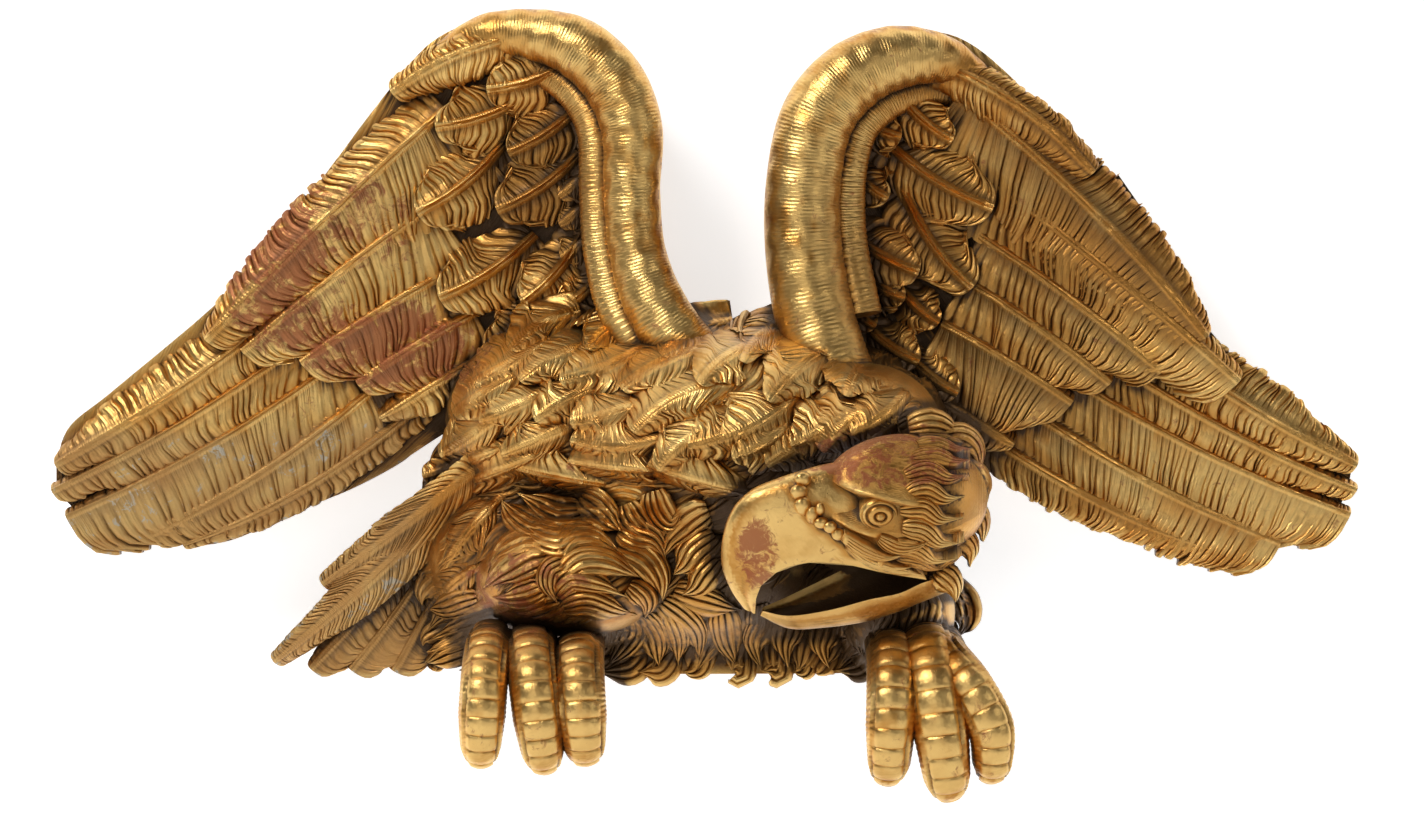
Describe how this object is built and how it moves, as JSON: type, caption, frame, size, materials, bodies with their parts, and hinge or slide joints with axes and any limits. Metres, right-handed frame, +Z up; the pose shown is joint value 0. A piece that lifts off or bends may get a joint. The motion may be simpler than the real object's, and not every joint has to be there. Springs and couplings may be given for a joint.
{
  "type": "giltwood eagle carving",
  "caption": "Carved and gilded wood eagle in the half round, wings raised and beak open, which hangs flat on a wall and grips the front edge of a ledge or cornice.",
  "frame": {"origin": "on the flat back, in the plane of the wall, midway between the wings' arms and near the middle of the body's height", "axes": "+X to the viewer's right along the wing span, +Y into the wall, +Z up; the bird looks out towards -Y"},
  "size_m": [1.025, 0.3273, 0.6038],
  "materials": {
    "gilding": "Carved wood under gesso and red bole, water gilded and burnished to a warm gold, rubbed through to the red on high places, with brown toning in the hollows and a worn, chipped tip on the left wing."
  },
  "bodies": {
    "root": {"eagle": "gilding"}
  },
  "joints": []
}
